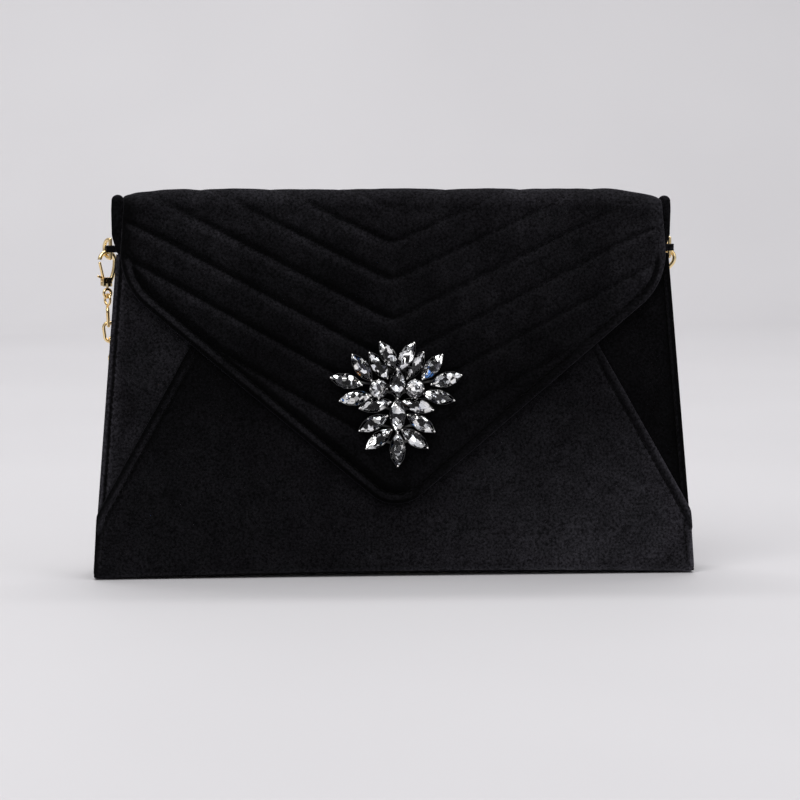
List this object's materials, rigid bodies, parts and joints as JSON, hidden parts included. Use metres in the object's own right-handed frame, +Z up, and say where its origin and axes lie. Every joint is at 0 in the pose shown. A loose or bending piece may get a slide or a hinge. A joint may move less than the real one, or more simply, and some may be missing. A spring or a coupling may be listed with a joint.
{
  "type": "evening bag",
  "caption": "Velvet envelope clutch with a quilted pointed flap, crystal brooch, magnetic snap and gold chain strap on clasps.",
  "frame": {"origin": "on the surface that the bag stands on, at the middle of the bag's box, without the chain strap", "axes": "+Z up, +X to the right seen from the front, +Y towards the back; the flap and brooch face -Y"},
  "size_m": [0.2798, 0.082, 0.1802],
  "materials": {
    "velvet": "velvet pile",
    "lining": "satin",
    "wadding": "matt",
    "board": "matt",
    "gold": "polished",
    "silver": "polished",
    "steel": "brushed",
    "crystal": "polished"
  },
  "bodies": {
    "root": {"base_cover": "velvet", "base_board": "board", "lining_base": "lining", "back_panel": "velvet", "back_board": "board", "lining_back": "lining", "slip_pocket": "lining", "gusset_left": "velvet", "gusset_right": "velvet", "strap_tab_left": "velvet", "strap_tab_right": "velvet", "chain_left": "gold", "chain_right": "gold", "chain_hank": "gold"},
    "front": {"front_panel": "velvet", "wing_left": "velvet", "wing_right": "velvet", "front_wadding": "wadding", "front_board": "board", "lining_front": "lining", "snap_socket": "gold", "snap_magnet": "steel", "socket_washer": "steel"},
    "fold": {"fold_board": "board", "fold_cover": "velvet"},
    "flap": {"flap_cover": "velvet", "flap_edge_band": "velvet", "flap_board": "board", "flap_lining": "lining", "snap_stud": "gold", "stud_washer": "steel", "brooch_plate": "silver", "brooch_posts": "silver", "brooch_washers": "steel", "brooch_settings": "silver", "stones_pointed": "crystal", "stones_round": "crystal"},
    "strap_ring_left": {"d_ring_left": "gold", "clasp_body_left": "gold", "gate_pin_left": "gold", "swivel_eye_left": "gold", "jump_ring_left": "gold"},
    "gate_left": {"clasp_gate_left": "gold"},
    "strap_ring_right": {"d_ring_right": "gold", "clasp_body_right": "gold", "gate_pin_right": "gold", "swivel_eye_right": "gold", "jump_ring_right": "gold"},
    "gate_right": {"clasp_gate_right": "gold"}
  },
  "joints": [
    {"name": "flap_open", "type": "hinge", "parent": "fold", "child": "flap", "pos_m": [0, -0.00784, 0.1752], "axis": [-1, 0, 0], "range_deg": [0, 90]},
    {"name": "fold_roll", "type": "hinge", "parent": "root", "child": "fold", "pos_m": [0, 0.00783, 0.1752], "axis": [-1, 0, 0], "range_deg": [0, 90]},
    {"name": "mouth_tilt", "type": "hinge", "parent": "root", "child": "front", "pos_m": [0, -0.01427, 0.0013], "axis": [1, 0, 0], "range_deg": [0, 9], "deforming": ["gusset_left", "gusset_right"]},
    {"name": "ring_swing_left", "type": "hinge", "parent": "root", "child": "strap_ring_left", "pos_m": [-0.1319, 0.01285, 0.152], "axis": [0, 0, -1], "range_deg": [-100, 60]},
    {"name": "ring_swing_right", "type": "hinge", "parent": "root", "child": "strap_ring_right", "pos_m": [0.1319, 0.01285, 0.152], "axis": [0, 0, 1], "range_deg": [-130, 6]},
    {"name": "gate_press_left", "type": "hinge", "parent": "strap_ring_left", "child": "gate_left", "pos_m": [-0.13506, 0.01472, 0.13715], "axis": [-0.5, 0.866, 0], "range_deg": [0, 22], "stiffness_Nm_per_rad": 0.002, "springref_deg": -20.05},
    {"name": "gate_press_right", "type": "hinge", "parent": "strap_ring_right", "child": "gate_right", "pos_m": [0.12377, 0.01605, 0.14057], "axis": [0, 1, 0], "range_deg": [0, 22], "stiffness_Nm_per_rad": 0.002, "springref_deg": -20.05}
  ],
  "couplings": [
    {"joint": "fold_roll", "follows": "flap_open", "ratio": 1},
    {"joint": "mouth_tilt", "follows": "flap_open", "ratio": 0.1}
  ]
}
